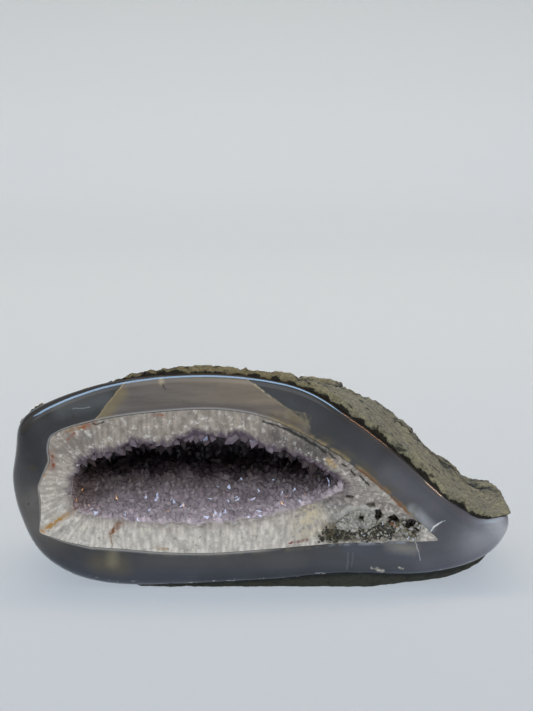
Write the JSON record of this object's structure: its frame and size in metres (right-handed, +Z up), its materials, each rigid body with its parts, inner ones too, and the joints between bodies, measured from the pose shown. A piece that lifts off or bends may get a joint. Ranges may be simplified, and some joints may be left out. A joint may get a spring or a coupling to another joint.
{
  "type": "amethyst geode half",
  "caption": "Half of a sawn amethyst geode with a polished cut face, standing on a flat base: basalt rind, grey agate band, white quartz lining and an open cavity of amethyst points.",
  "frame": {"origin": "bottom centre of the bounding box, on the flat underside that the stone stands on", "axes": "+X along the stone towards its thin right-hand tip, +Y from the cut face to the back, +Z up"},
  "size_m": [0.2574, 0.0862, 0.1155],
  "materials": {
    "basalt": "rough natural crust, olive brown with dark spots",
    "agate": "polished grey chalcedony with faint bands",
    "amethyst": "clear to milky quartz, pale violet crystal points"
  },
  "bodies": {
    "root": {"basalt_rind": "basalt", "agate_band": "agate", "amethyst_druse": "amethyst"}
  },
  "joints": []
}
